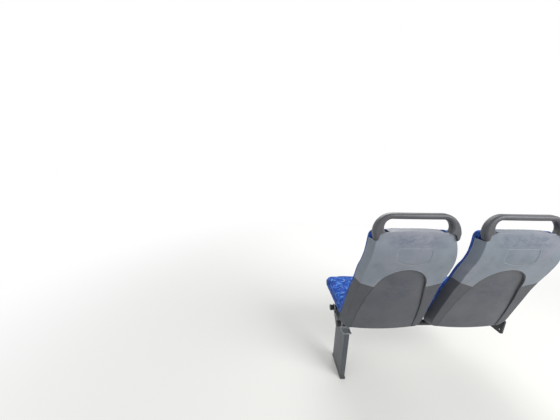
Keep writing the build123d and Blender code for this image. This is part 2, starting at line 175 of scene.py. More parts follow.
def makeCamera():
    lens = bpy.data.cameras.new("photoCamera")
    lens.sensor_width = photoView["sensor"]
    lens.sensor_fit = "HORIZONTAL"
    lens.lens = photoView["lens"]
    lens.clip_start = photoView["nearest"]
    camera = linkPiece("photoCamera", lens)
    camera.location = photoView["place"]
    camera.rotation_euler = [math.radians(a) for a in photoView["turn"]]
    bpy.context.scene.camera = camera


def seenBy(tree, *rays):
    # 1 for these kinds of ray and 0 for all that light the seat
    path = addNode(tree, "ShaderNodeLightPath", {})
    seen = path.outputs[rays[0]]
    for ray in rays[1:]:
        seen = addNode(tree, "ShaderNodeMath", {"operation": "MAXIMUM", 0: seen, 1: path.outputs[ray]})
    return seen


def makeFloor():
    # pale floor that keeps the shadow near the seat and runs out into the white background
    pick()
    bpy.ops.mesh.primitive_circle_add(vertices=96, radius=studio["floorRadius"], fill_type="NGON",
                                      location=studio["floorMiddle"])
    floor = bpy.context.object
    floor.name = "studioFloor"
    bpy.ops.object.transform_apply(location=True)
    material, tree = newMaterial("paintedStudioFloor")
    place = addNode(tree, "ShaderNodeTexCoord", {}).outputs["Object"]
    fromMiddle = addNode(tree, "ShaderNodeVectorMath", {"operation": "SUBTRACT", 0: place,
                         1: studio["floorMiddle"]})
    reach = addNode(tree, "ShaderNodeVectorMath", {"operation": "LENGTH", 0: fromMiddle})
    fade = addNode(tree, "ShaderNodeMapRange", {"interpolation_type": "SMOOTHSTEP",
                   "Value": reach.outputs["Value"], "From Min": studio["fadeStart"],
                   "From Max": studio["fadeEnd"]})
    seen = seenBy(tree, "Is Camera Ray", "Is Glossy Ray")
    share = addNode(tree, "ShaderNodeMath", {"operation": "MULTIPLY", 0: fade, 1: seen})
    paint = addNode(tree, "ShaderNodeBsdfDiffuse", {"Color": studio["floor"]})
    white = addNode(tree, "ShaderNodeEmission", {"Color": studio["white"], "Strength": 1.0})
    mix = addNode(tree, "ShaderNodeMixShader", {0: share, 1: paint, 2: white})
    addNode(tree, "ShaderNodeOutputMaterial", {"Surface": mix})
    floor.data.materials.append(material)


def makeLight():
    for name, lamp in studioLamps.items():
        light = bpy.data.lights.new(name + "Lamp", "AREA")
        light.shape = "SQUARE"
        light.size = lamp["size"]
        light.energy = lamp["power"]
        holder = linkPiece(name + "Lamp", light)
        holder.location = lamp["place"]
        toSeat = Vector(lamp["aim"]) - Vector(lamp["place"])
        holder.rotation_euler = toSeat.to_track_quat("-Z", "Y").to_euler()
        holder.visible_camera = False
    world = bpy.data.worlds.new("studioWorld")
    bpy.context.scene.world = world
    world.use_nodes = True
    tree = world.node_tree
    tree.nodes.clear()
    seen = seenBy(tree, "Is Camera Ray", "Is Glossy Ray", "Is Transmission Ray")
    soft = addNode(tree, "ShaderNodeBackground", {"Color": studio["sky"], "Strength": studio["skyLight"]})
    white = addNode(tree, "ShaderNodeBackground", {"Color": studio["white"], "Strength": 1.0})
    mix = addNode(tree, "ShaderNodeMixShader", {0: seen, 1: soft, 2: white})
    addNode(tree, "ShaderNodeOutputWorld", {"Surface": mix})


bpy.context.scene.view_settings.view_transform = "Standard"
makeCamera()
makeFloor()
makeLight()
print("camera, floor and light are set")


# Materials

def layTints(tree, ground, layers):
    # lays each tint over the ones before it; its share is the product of its factors
    colour = ground
    for tint, factors in layers:
        share = factors[0]
        for factor in factors[1:]:
            share = addNode(tree, "ShaderNodeMath", {"operation": "MULTIPLY", 0: share, 1: factor})
        mix = addNode(tree, "ShaderNodeMix", {"data_type": "RGBA", 0: share, 6: colour, 7: tint})
        colour = mix.outputs[2]
    return colour


def edgeMask(tree, width):
    # 1 where the surface turns sharply: the rounded-off normal leaves the true one there
    rounded = addNode(tree, "ShaderNodeBevel", {"samples": 6, "Radius": width})
    shape = addNode(tree, "ShaderNodeNewGeometry", {})
    turn = addNode(tree, "ShaderNodeVectorMath", {"operation": "DOT_PRODUCT", 0: rounded,
                   1: shape.outputs["Normal"]})
    return addNode(tree, "ShaderNodeMapRange", {"Value": turn.outputs["Value"], "From Min": 0.985,
                   "From Max": 0.86})


# Moulded plastic: eroded grain from the mould, cloudy tint, rubbed streaks, edges tinted partly by polishing
# wear and partly by painted light (a painted highlight on the pale covers, painted shade on the knee panel),
# and painted shade in the grooves.
# The tints come first, then each one's share, the mould grain, and the haze that wiping left.
# its pale edge tint is partly polishing wear and partly a painted highlight along the edges, the crease and
# the field's outline
lightCoverLook = {
    "tint": "#7f8791", "cloud": "#6c7681", "aged": "#94909b", "streak": "#a3a8af", "dirt": "#525960",
    "edge": "#bcc0c6", "streakShare": 0.34, "dirtShare": 0.36, "edgeWearAndPaintedLightShare": 0.75, "paintedShadeAndGrimeShare": 0.45,
    "grainMm": 1.0, "grainDeepMm": 0.12, "roughness": 0.44,
    "haze": {"tint": "#4b5a70", "share": 0.55, "height": 0.872, "halfHigh": 0.034, "halfWide": 0.15},
}
darkCoverLook = {
    "tint": "#45484e", "cloud": "#3a3e45", "aged": "#514f58", "streak": "#787b80", "dirt": "#33363b",
    "edge": "#84878c", "streakShare": 0.42, "dirtShare": 0.30, "edgeWearAndPaintedLightShare": 0.30, "paintedShadeAndGrimeShare": 0.8,
    "grainMm": 1.0, "grainDeepMm": 0.14, "roughness": 0.48, "haze": None,
}
# its dark edge tint is painted shade along the groove round the panel and on its recess wall, with grime in
# the groove
kneePanelLook = {
    "tint": "#4f5258", "cloud": "#43474f", "aged": "#5f5d65", "streak": "#868990", "dirt": "#3b3f45",
    "edge": "#202125", "streakShare": 0.60, "dirtShare": 0.34, "edgeWearAndPaintedLightShare": 0.85, "paintedShadeAndGrimeShare": 0.8,
    "grainMm": 1.0, "grainDeepMm": 0.14, "roughness": 0.46,
    "haze": {"tint": "#333e50", "share": 0.55, "height": 0.615, "halfHigh": 0.10, "halfWide": 0.085},
}
handleLook = {
    "tint": "#484a4f", "cloud": "#3e4045", "aged": "#525055", "streak": "#717377", "dirt": "#36383c",
    "edge": "#6a6d72", "streakShare": 0.30, "dirtShare": 0.22, "edgeWearAndPaintedLightShare": 0.4, "paintedShadeAndGrimeShare": 0.7,
    "grainMm": 0.7, "grainDeepMm": 0.07, "roughness": 0.36, "haze": None,
}
boardLook = {
    "tint": "#212224", "cloud": "#1b1c1e", "aged": "#28272a", "streak": "#3a3b3d", "dirt": "#2b2926",
    "edge": "#3c3d3f", "streakShare": 0.2, "dirtShare": 0.3, "edgeWearAndPaintedLightShare": 0.4, "paintedShadeAndGrimeShare": 0.4,
    "grainMm": 1.2, "grainDeepMm": 0.05, "roughness": 0.58, "haze": None,
}
panLook = {
    "tint": "#242528", "cloud": "#1c1d20", "aged": "#2c2a2d", "streak": "#434447", "dirt": "#35322d",
    "edge": "#454649", "streakShare": 0.3, "dirtShare": 0.35, "edgeWearAndPaintedLightShare": 0.5, "paintedShadeAndGrimeShare": 0.4,
    "grainMm": 1.4, "grainDeepMm": 0.07, "roughness": 0.55, "haze": None,
}
capLook = {
    "tint": "#19191a", "cloud": "#121213", "aged": "#1f1e20", "streak": "#333334", "dirt": "#2c2a27",
    "edge": "#3a3a3a", "streakShare": 0.3, "dirtShare": 0.3, "edgeWearAndPaintedLightShare": 0.5, "paintedShadeAndGrimeShare": 0.4,
    "grainMm": 0.5, "grainDeepMm": 0.02, "roughness": 0.42, "haze": None,
}
# what all the plastics share: how wide the patches of each kind of wear, painted highlight and painted shade
# are, in metres
plasticWear = {"cloud": 0.16, "aged": 0.27, "worn": 0.07, "blot": 0.045, "edge": 0.003, "groove": 0.009,
               "paintedShadeAndGrime": "#1d1e20", "ior": 1.52}


def wipedHaze(tree, place, haze):
    # factors of a faint bluish film left by wiping, in a soft band behind each passenger's back
    axes = addNode(tree, "ShaderNodeSeparateXYZ", {0: place})
    aside = addNode(tree, "ShaderNodeMath", {"operation": "SUBTRACT", 0: axes.outputs["X"], 1: seatMiddle})
    aside = addNode(tree, "ShaderNodeMath", {"operation": "WRAP", 0: aside, 1: seatStep / 2,
                    2: -seatStep / 2})
    above = addNode(tree, "ShaderNodeMath", {"operation": "SUBTRACT", 0: axes.outputs["Z"],
                    1: haze["height"]})
    factors = []
    for offset, half, core in ((aside, haze["halfWide"], 0.55), (above, haze["halfHigh"], 0.4)):
        away = addNode(tree, "ShaderNodeMath", {"operation": "ABSOLUTE", 0: offset})
        factors.append(addNode(tree, "ShaderNodeMapRange", {"interpolation_type": "SMOOTHSTEP",
                               "Value": away, "From Min": half, "From Max": core * half}))
    # wiped marks about 30 mm long and 16 mm high
    wiped = addNode(tree, "ShaderNodeMapping", {"Vector": place, "Scale": (34.0, 34.0, 62.0),
                    "Rotation": (0.0, 0.35, 0.0)})
    film = addNode(tree, "ShaderNodeTexNoise", {"Vector": wiped, "Scale": 1.0, "Detail": 5.0,
                   "Roughness": 0.62, "Distortion": 0.9})
    factors.append(addNode(tree, "ShaderNodeMapRange", {"Value": film, "From Min": 0.40, "From Max": 0.62}))
    return factors + [haze["share"]]


def rubbedStreaks(tree, place):
    # streaks run in two directions, each about 0.7 mm wide and some 40 mm long
    rubbed = []
    for turn, seed in ((0.45, 0.0), (-0.95, 3.7)):
        turned = addNode(tree, "ShaderNodeMapping", {"Vector": place, "Location": (seed, seed, seed),
                         "Rotation": (0.0, turn, 0.3 * turn)})
        drawn = addNode(tree, "ShaderNodeMapping", {"Vector": turned, "Scale": (900.0, 420.0, 16.0)})
        lines = addNode(tree, "ShaderNodeTexNoise", {"Vector": drawn, "Scale": 1.0, "Detail": 2.0,
                        "Roughness": 0.45})
        rubbed.append(addNode(tree, "ShaderNodeMapRange", {"Value": lines, "From Min": 0.64,
                              "From Max": 0.76}))
    return addNode(tree, "ShaderNodeMath", {"operation": "MAXIMUM", 0: rubbed[0], 1: rubbed[1]})


def mouldGrain(tree, place, look):
    # leather-like cells with a finer sand between them
    cells = addNode(tree, "ShaderNodeTexVoronoi", {"feature": "SMOOTH_F1", "Vector": place,
                    "Scale": 1000 / look["grainMm"], "Smoothness": 0.5})
    sand = addNode(tree, "ShaderNodeTexNoise", {"Vector": place, "Scale": 2600 / look["grainMm"],
                   "Detail": 2.0})
    height = addNode(tree, "ShaderNodeMath", {"operation": "MULTIPLY_ADD", 0: sand, 1: 0.35,
                     2: cells.outputs["Distance"]})
    return addNode(tree, "ShaderNodeBump", {"Height": height, "Strength": 0.55,
                   "Distance": look["grainDeepMm"] / 1000})


def mouldedPlastic(name, look):
    material, tree = newMaterial(name)
    place = addNode(tree, "ShaderNodeTexCoord", {}).outputs["Object"]
    cloud = addNode(tree, "ShaderNodeTexNoise", {"Vector": place, "Scale": 1 / plasticWear["cloud"],
                    "Detail": 4.0, "Roughness": 0.6})
    clouded = addNode(tree, "ShaderNodeMapRange", {"Value": cloud, "From Min": 0.35, "From Max": 0.68})
    ageing = addNode(tree, "ShaderNodeTexNoise", {"Vector": place, "Scale": 1 / plasticWear["aged"],
                     "Detail": 2.0, "Distortion": 0.5})
    aged = addNode(tree, "ShaderNodeMapRange", {"Value": ageing, "From Min": 0.42, "From Max": 0.64,
                   "To Max": 0.45})
    wear = addNode(tree, "ShaderNodeTexNoise", {"Vector": place, "Scale": 1 / plasticWear["worn"],
                   "Detail": 3.0, "Distortion": 0.6})
    worn = addNode(tree, "ShaderNodeMapRange", {"Value": wear, "From Min": 0.46, "From Max": 0.66})
    # handling dirt in soft blots with a fine broken edge
    blot = addNode(tree, "ShaderNodeTexNoise", {"Vector": place, "Scale": 1 / plasticWear["blot"],
                   "Detail": 9.0, "Roughness": 0.66, "Distortion": 0.35})
    dirty = addNode(tree, "ShaderNodeMapRange", {"Value": blot, "From Min": 0.52, "From Max": 0.78})
    # painted shade in the joints, grooves and recesses, darker where they close in, standing also for the
    # grime that a cloth does not reach there
    openness = addNode(tree, "ShaderNodeAmbientOcclusion", {"samples": 6, "Distance": plasticWear["groove"]})
    deep = addNode(tree, "ShaderNodeMapRange", {"Value": openness.outputs["AO"], "From Min": 0.62,
                   "From Max": 0.22})
    layers = [
        (look["cloud"], [clouded]),
        (look["aged"], [aged]),
        (look["streak"], [rubbedStreaks(tree, place), worn, look["streakShare"]]),
        (look["dirt"], [dirty, look["dirtShare"]]),
    ]
    if look["haze"]:
        layers.append((look["haze"]["tint"], wipedHaze(tree, place, look["haze"])))
    # edge tint: polishing wear, and painted light: a painted highlight where the tint is pale, painted shade
    # where it is dark
    layers.append((look["edge"], [edgeMask(tree, plasticWear["edge"]), look["edgeWearAndPaintedLightShare"]]))
    # painted shade and grime in the joints, grooves and recesses
    layers.append((plasticWear["paintedShadeAndGrime"], [deep, look["paintedShadeAndGrimeShare"]]))
    shine = addNode(tree, "ShaderNodeMapRange", {"Value": blot, "To Min": look["roughness"] - 0.07,
                    "To Max": look["roughness"] + 0.12})
    shader = addNode(tree, "ShaderNodeBsdfPrincipled", {
        "Base Color": layTints(tree, look["tint"], layers), "Roughness": shine,
        "Normal": mouldGrain(tree, place, look), "IOR": plasticWear["ior"], "Specular IOR Level": 0.5})
    addNode(tree, "ShaderNodeOutputMaterial", {"Surface": shader})
    return material


# Powder coat on steel: fine orange peel, paler edges (rubbed paint, and on the leg also a painted
# highlight), small chips down to bare steel
frameSteelLook = {"tint": "#303236", "cloud": "#282a2d", "rub": "#55585c", "dust": "#5a5650",
                  "chipsAbove": 0.72, "peelMm": 1.6, "roughness": 0.42}
# the leg's pale rub tint also paints a highlight along its edges
legPaintLook = {"tint": "#4c5158", "cloud": "#41464d", "rub": "#a0a2a5", "dust": "#6f6a60",
                "chipsAbove": 0.70, "peelMm": 1.8, "roughness": 0.40}
coatWear = {"cloud": 0.09, "edge": 0.003, "dustHigh": 0.15, "speck": 0.008, "chip": 0.004,  # in metres
            "rubAndHighlightShare": 0.8, "dustShare": 0.7, "edgeChips": 0.16, "bareSteel": "#8b8985", "ior": 1.5}


def powderCoat(name, look):
    material, tree = newMaterial(name)
    place = addNode(tree, "ShaderNodeTexCoord", {}).outputs["Object"]
    cloud = addNode(tree, "ShaderNodeTexNoise", {"Vector": place, "Scale": 1 / coatWear["cloud"],
                    "Detail": 4.0})
    clouded = addNode(tree, "ShaderNodeMapRange", {"Value": cloud, "From Min": 0.35, "From Max": 0.65})
    edges = edgeMask(tree, coatWear["edge"])
    # shoe dust gathers low on the leg
    height = addNode(tree, "ShaderNodeSeparateXYZ", {0: place})
    low = addNode(tree, "ShaderNodeMapRange", {"Value": height.outputs["Z"],
                  "From Min": coatWear["dustHigh"], "From Max": 0.0})
    specks = addNode(tree, "ShaderNodeTexNoise", {"Vector": place, "Scale": 1 / coatWear["speck"],
                     "Detail": 6.0, "Roughness": 0.7})
    dusty = addNode(tree, "ShaderNodeMapRange", {"Value": specks, "From Min": 0.42, "From Max": 0.7})
    # the paler edges are rubbed paint, on the leg also a painted highlight
    colour = layTints(tree, look["tint"], [(look["cloud"], [clouded]),
                                           (look["rub"], [edges, coatWear["rubAndHighlightShare"]]),
                                           (look["dust"], [low, dusty, coatWear["dustShare"]])])
    # chips open more easily along the edges
    chip = addNode(tree, "ShaderNodeTexNoise", {"Vector": place, "Scale": 1 / coatWear["chip"],
                   "Detail": 5.0, "Roughness": 0.55})
    chipped = addNode(tree, "ShaderNodeMath", {"operation": "MULTIPLY_ADD", 0: edges,
                      1: coatWear["edgeChips"], 2: chip})
    bare = addNode(tree, "ShaderNodeMapRange", {"Value": chipped, "From Min": look["chipsAbove"],
                   "From Max": look["chipsAbove"] + 0.02})
    peel = addNode(tree, "ShaderNodeTexNoise", {"Vector": place, "Scale": 1000 / look["peelMm"],
                   "Detail": 2.0})
    relief = addNode(tree, "ShaderNodeMath", {"operation": "MULTIPLY_ADD", 0: bare, 1: -0.8, 2: peel})
    bump = addNode(tree, "ShaderNodeBump", {"Height": relief, "Strength": 0.4, "Distance": 0.0001})
    coat = addNode(tree, "ShaderNodeBsdfPrincipled", {"Base Color": colour, "Normal": bump,
                   "IOR": coatWear["ior"], "Roughness": look["roughness"]})
    steel = addNode(tree, "ShaderNodeBsdfPrincipled", {"Base Color": coatWear["bareSteel"],
                    "Metallic": 1.0, "Roughness": 0.45, "Normal": bump})
    mix = addNode(tree, "ShaderNodeMixShader", {0: bare, 1: coat, 2: steel})
    addNode(tree, "ShaderNodeOutputMaterial", {"Surface": mix})
    return material


# Zinc plated steel: cool bright metal with faint crystal patches, drawing lines and dull white bloom
zincLook = {"bright": "#a9adb0", "dull": "#85898c", "bloom": "#9c9e9b", "dullShare": 0.7,
            "bloomShare": 0.6, "roughness": 0.50, "crystal": 0.006, "bloomSize": 0.012}  # sizes in metres


def zincPlate(name, look):
    material, tree = newMaterial(name)
    place = addNode(tree, "ShaderNodeTexCoord", {}).outputs["Object"]
    crystals = addNode(tree, "ShaderNodeTexVoronoi", {"Vector": place, "Scale": 1 / look["crystal"],
                       "Randomness": 1.0})
    grey = addNode(tree, "ShaderNodeSeparateColor", {0: crystals.outputs["Color"]})
    bloom = addNode(tree, "ShaderNodeTexNoise", {"Vector": place, "Scale": 1 / look["bloomSize"],
                    "Detail": 7.0, "Roughness": 0.7})
    bloomed = addNode(tree, "ShaderNodeMapRange", {"Value": bloom, "From Min": 0.55, "From Max": 0.75})
    colour = layTints(tree, look["bright"], [(look["dull"], [grey, look["dullShare"]]),
                                             (look["bloom"], [bloomed, look["bloomShare"]])])
    # drawing lines about 0.6 mm apart and 25 mm long
    drawn = addNode(tree, "ShaderNodeMapping", {"Vector": place, "Scale": (40.0, 1800.0, 1800.0)})
    lines = addNode(tree, "ShaderNodeTexNoise", {"Vector": drawn, "Scale": 1.0, "Detail": 3.0})
    bump = addNode(tree, "ShaderNodeBump", {"Height": lines, "Strength": 0.25, "Distance": 0.00006})
    shine = addNode(tree, "ShaderNodeMapRange", {"Value": bloom, "To Min": look["roughness"] - 0.08,
                    "To Max": look["roughness"] + 0.25})
    shader = addNode(tree, "ShaderNodeBsdfPrincipled", {"Base Color": colour, "Metallic": 1.0,
                     "Roughness": shine, "Normal": bump})
    addNode(tree, "ShaderNodeOutputMaterial", {"Surface": shader})
    return material


# Moquette: woven wool pile, royal blue with scattered crescents, dashes and small lozenges.
# The pile tufts are drawn 1.5 mm apart, coarser than the real 0.8 mm, so that they show.
# the gusset tint is a painted shade on the cushions' side walls
moquetteLook = {"ground": "#2a60c8", "shade": "#1a3f98", "light": "#5c93e6", "pile": "#5d8de0",
                "gussetPaintedShade": "#10205e", "gussetPaintedShadeShare": 0.55, "sheen": "#a8c4f4", "roughness": 0.92,
                "tuftMm": 1.5, "raggedMm": 1.8, "dyeMm": 32, "fuzz": 0.0011}
# a motif is a stroke of half length halfMm and half width wideMm; with a lineMm only its outline is drawn
moquetteMotifs = [
    {"colour": "#6fa6ea", "cellMm": 58, "halfMm": 11.0, "wideMm": 4.2, "lineMm": 0, "bend": 26.0,
     "turn": 0.9, "seed": 0.31},
    {"colour": "#12286f", "cellMm": 41, "halfMm": 10.0, "wideMm": 3.0, "lineMm": 0, "bend": 30.0,
     "turn": 0.0, "seed": 0.00},
    {"colour": "#142c7c", "cellMm": 47, "halfMm": 5.0, "wideMm": 5.5, "lineMm": 1.0, "bend": 0.0,
     "turn": 2.2, "seed": 1.71},
    {"colour": "#16317f", "cellMm": 26, "halfMm": 4.5, "wideMm": 1.3, "lineMm": 0, "bend": 40.0,
     "turn": 1.9, "seed": 0.57},
    {"colour": "#79c3de", "cellMm": 64, "halfMm": 5.5, "wideMm": 2.2, "lineMm": 0, "bend": -52.0,
     "turn": 2.6, "seed": 0.83},
    {"colour": "#a588bd", "cellMm": 71, "halfMm": 2.2, "wideMm": 3.0, "lineMm": 0.8, "bend": 0.0,
     "turn": 0.4, "seed": 1.17},
]
# where the cloth's map lays each side of a cushion, so that the gusset, the side wall that takes painted
# shade, can be told from the rest
clothMap = {"sideFrom": 0.8, "frontFrom": 1.3, "gussetFrom": 0.33, "gussetTo": 1.1}


def motifShare(tree, place, motif, ragged):
    # one motif in each cell of a loose grid, turned at random: a stroke with round ends, straight or bent
    moved = addNode(tree, "ShaderNodeMapping", {"Vector": place, "Rotation": (0.0, 0.0, motif["turn"]),
                    "Location": (motif["seed"], 1.7 * motif["seed"], 0.0)})
    cell = addNode(tree, "ShaderNodeTexVoronoi", {"voronoi_dimensions": "2D", "Vector": moved,
                   "Scale": 1000 / motif["cellMm"], "Randomness": 0.55})
    inCell = addNode(tree, "ShaderNodeVectorMath", {"operation": "SUBTRACT", 0: moved,
                     1: cell.outputs["Position"]})
    chance = addNode(tree, "ShaderNodeSeparateColor", {0: cell.outputs["Color"]})
    angle = addNode(tree, "ShaderNodeMath", {"operation": "MULTIPLY", 0: chance, 1: math.tau})
    turned = addNode(tree, "ShaderNodeVectorRotate", {"rotation_type": "Z_AXIS", "Vector": inCell,
                     "Angle": angle})
    axes = addNode(tree, "ShaderNodeSeparateXYZ", {0: turned})
    x, y = axes.outputs["X"], axes.outputs["Y"]
    square = addNode(tree, "ShaderNodeMath", {"operation": "MULTIPLY", 0: x, 1: x})
    bent = addNode(tree, "ShaderNodeMath", {"operation": "MULTIPLY_ADD", 0: square, 1: motif["bend"], 2: y})
    along = addNode(tree, "ShaderNodeMath", {"operation": "ABSOLUTE", 0: x})
    past = addNode(tree, "ShaderNodeMath", {"operation": "SUBTRACT", 0: along, 1: motif["halfMm"] / 1000})
    past = addNode(tree, "ShaderNodeMath", {"operation": "MAXIMUM", 0: past, 1: 0.0})
    offLine = addNode(tree, "ShaderNodeCombineXYZ", {"X": past, "Y": bent})
    away = addNode(tree, "ShaderNodeVectorMath", {"operation": "LENGTH", 0: offLine}).outputs["Value"]
    away = addNode(tree, "ShaderNodeMath", {"operation": "MULTIPLY_ADD", 0: ragged,
                   1: moquetteLook["fuzz"], 2: away})
    wide = motif["wideMm"] / 1000
    if motif["lineMm"]:
        away = addNode(tree, "ShaderNodeMath", {"operation": "SUBTRACT", 0: away, 1: wide})
        away = addNode(tree, "ShaderNodeMath", {"operation": "ABSOLUTE", 0: away})
        wide = motif["lineMm"] / 1000
    return addNode(tree, "ShaderNodeMapRange", {"Value": away, "From Min": wide + 0.0008,
                   "From Max": wide})


def wovenMoquette(name, look, motifs):
    material, tree = newMaterial(name)
    place = addNode(tree, "ShaderNodeUVMap", {"uv_map": "clothPlace"})
    tuft = addNode(tree, "ShaderNodeTexVoronoi", {"voronoi_dimensions": "2D", "Vector": place,
                   "Scale": 1000 / look["tuftMm"], "Randomness": 0.35}).outputs["Distance"]
    ragged = addNode(tree, "ShaderNodeTexNoise", {"noise_dimensions": "2D", "Vector": place,
                     "Scale": 1000 / look["raggedMm"], "Detail": 2.0})
    dyed = addNode(tree, "ShaderNodeTexNoise", {"noise_dimensions": "2D", "Vector": place,
                   "Scale": 1000 / look["dyeMm"], "Detail": 5.0, "Roughness": 0.62, "Distortion": 1.1})
    deep = addNode(tree, "ShaderNodeMapRange", {"Value": dyed, "From Min": 0.50, "From Max": 0.36})
    light = addNode(tree, "ShaderNodeMapRange", {"Value": dyed, "From Min": 0.56, "From Max": 0.70})
    # the gusset between the piping and the cover gets a painted shade, darker than the rest of the cloth
    across = addNode(tree, "ShaderNodeSeparateXYZ", {0: place}).outputs["Y"]
    pastTop = addNode(tree, "ShaderNodeMath", {"operation": "GREATER_THAN", 0: across,
                      1: clothMap["gussetFrom"]})
    beforeFront = addNode(tree, "ShaderNodeMath", {"operation": "LESS_THAN", 0: across,
                          1: clothMap["gussetTo"]})
    tip = addNode(tree, "ShaderNodeMapRange", {"Value": tuft, "From Min": 0.45, "From Max": 0.05,
                  "To Max": 0.30})
    layers = [(look["shade"], [deep]), (look["light"], [light])]
    for motif in motifs:
        layers.append((motif["colour"], [motifShare(tree, place, motif, ragged)]))
    layers.append((look["gussetPaintedShade"], [pastTop, beforeFront, look["gussetPaintedShadeShare"]]))
    layers.append((look["pile"], [tip]))
    rows = addNode(tree, "ShaderNodeMapping", {"Vector": place, "Scale": (1000 / look["tuftMm"], 1.0, 1.0)})
    ribs = addNode(tree, "ShaderNodeTexWave", {"Vector": rows, "Scale": 0.32, "Distortion": 0.4})
    height = addNode(tree, "ShaderNodeMath", {"operation": "MULTIPLY_ADD", 0: tuft, 1: -0.9,
                     2: ribs.outputs["Fac"]})
    bump = addNode(tree, "ShaderNodeBump", {"Height": height, "Strength": 0.5, "Distance": 0.0004})
    shader = addNode(tree, "ShaderNodeBsdfPrincipled", {
        "Base Color": layTints(tree, look["ground"], layers), "Roughness": look["roughness"],
        "Normal": bump, "Sheen Weight": 0.35, "Sheen Roughness": 0.45, "Sheen Tint": look["sheen"],
        "Specular IOR Level": 0.25})
    addNode(tree, "ShaderNodeOutputMaterial", {"Surface": shader})
    return material


# Piping: the same wool woven flat round a cord, paler in patches, partly where it is rubbed and partly as a
# painted highlight along the cushion's edges
pipingLook = {"tint": "#3158ad", "rub": "#7b9fe0", "dark": "#1a3378", "darkShare": 0.45, "rubAndHighlightSize": 0.02,
              "twill": 260.0}


def wovenPiping(name, look):
    material, tree = newMaterial(name)
    place = addNode(tree, "ShaderNodeTexCoord", {}).outputs["Object"]
    twill = addNode(tree, "ShaderNodeTexWave", {"bands_direction": "DIAGONAL", "Vector": place,
                    "Scale": look["twill"], "Distortion": 0.6}).outputs["Fac"]
    rub = addNode(tree, "ShaderNodeTexNoise", {"Vector": place, "Scale": 1 / look["rubAndHighlightSize"],
                  "Detail": 5.0, "Roughness": 0.7})
    rubbed = addNode(tree, "ShaderNodeMapRange", {"Value": rub, "From Min": 0.45, "From Max": 0.7})
    # the pale patches are partly rubbed wool and partly a painted highlight along the cushion's edges
    colour = layTints(tree, look["tint"], [(look["rub"], [rubbed]),
                                           (look["dark"], [twill, look["darkShare"]])])
    bump = addNode(tree, "ShaderNodeBump", {"Height": twill, "Strength": 0.5, "Distance": 0.0003})
    shader = addNode(tree, "ShaderNodeBsdfPrincipled", {"Base Color": colour, "Normal": bump,
                     "Roughness": 0.85, "Sheen Weight": 0.25, "Sheen Roughness": 0.5,
                     "Specular IOR Level": 0.3})
    addNode(tree, "ShaderNodeOutputMaterial", {"Surface": shader})
    return material


finishes = {
    "light_cover": mouldedPlastic("mouldedAbsLightGrey", lightCoverLook),
    "dark_cover": mouldedPlastic("mouldedAbsDarkGrey", darkCoverLook),
    "knee_panel": mouldedPlastic("rubbedAbsKneePanel", kneePanelLook),
    "handle": mouldedPlastic("mouldedPolyamideHandle", handleLook),
    "board": mouldedPlastic("blackPolypropyleneBoard", boardLook),
    "pan": mouldedPlastic("blackPolypropylenePan", panLook),
    "cap": mouldedPlastic("blackPolyethyleneCap", capLook),
    "frame_steel": powderCoat("blackPowderCoatedSteel", frameSteelLook),
    "leg_paint": powderCoat("greyPowderCoatedSteel", legPaintLook),
    "zinc": zincPlate("zincPlatedSteel", zincLook),
    "moquette": wovenMoquette("woolPileMoquette", moquetteLook, moquetteMotifs),
    "piping": wovenPiping("flatWovenWoolPiping", pipingLook),
}
for subpart in frame["record"]["subparts"]:
    finish = "knee_panel" if subpart["node"].endswith("knee_panel") else subpart["material_slot"]
    for slot in nodes[subpart["node"]].material_slots:
        slot.material = finishes[finish]
print("materials are on the CAD nodes")


# Cushions: all are swelled from the CAD pads

cushions = {"voxel": 0.0055, "pressure": 3.2, "frames": 20, "quality": 4, "mass": 0.3}
seatCushion = {"rake": 4.0, "panRear": (0.173, -0.054, 0.347), "rimLift": 0.0205, "swell": 0.019,
               "wide": 1.018, "long": 0.996, "lower": 0.005, "fill": 0.85, "backGap": 0.0005,
               "topAboveRim": 0.02}
seatTuck = {"voxel": 0.0022, "fill": 0.4, "cutWithin": 0.0005, "cordRadius": 0.0019, "cordLift": 0.0002}
backCushion = {"swell": 0.017, "smaller": 0.986, "thinner": 0.007, "fill": 0.8}
pipe = {"radius": 0.0024, "lift": 0.00144, "step": 0.005, "evenPasses": 10}
seamPress = {"width": 0.012, "depth": 0.0024, "step": 0.0015}
# how far a face or point has to look towards a side to count as part of it, as its normal's share
facing = {"seatTop": 0.9, "backFront": 0.75, "held": -0.6}


def cadCopy(nodeName, name):
    # the CAD solid as a mesh of its own, its loose triangles merged
    piece = linkPiece(name, nodes[nodeName].data.copy())
    editWhole(piece)
    bpy.ops.mesh.remove_doubles(threshold=0.00002)
    editDone()
    return piece


def loopLength(points):
    return sum((a - b).length for a, b in zip(points, points[1:] + points[:1]))


def borderPoints(piece, test):
    # the points in order along the longest border of the faces that pass the test
    cage = bmesh.new()
    cage.from_mesh(piece.data)
    cage.faces.ensure_lookup_table()
    inside = {face.index for face in cage.faces if test(face)}
    border = [edge for edge in cage.edges if sum(face.index in inside for face in edge.link_faces) == 1]
    left = {edge.index: edge for edge in border}
    loops = []
    while left:
        start, at = left.popitem()[1].verts
        points = [start.co.copy()]
        while at != start:
            points.append(at.co.copy())
            nextEdge = next((edge for edge in at.link_edges if edge.index in left), None)
            if nextEdge is None:
                break
            del left[nextEdge.index]
            at = nextEdge.other_vert(at)
        loops.append(points)
    cage.free()
    return max(loops, key=loopLength)


def evenPoints(points, step):
    # closed loop with points a step apart
    ring = points + points[:1]
    lengths = [0.0]
    for first, second in zip(ring, ring[1:]):
        lengths.append(lengths[-1] + (second - first).length)
    count = max(8, round(lengths[-1] / step))
    even = []
    at = 0
    for i in range(count):
        want = lengths[-1] * i / count
        while lengths[at + 1] < want:
            at += 1
        share = (want - lengths[at]) / max(lengths[at + 1] - lengths[at], 1e-9)
        even.append(ring[at].lerp(ring[at + 1], share))
    return even


def resize(piece, scale, around):
    editWhole(piece)
    bpy.ops.transform.resize(value=scale, center_override=around)
    editDone()


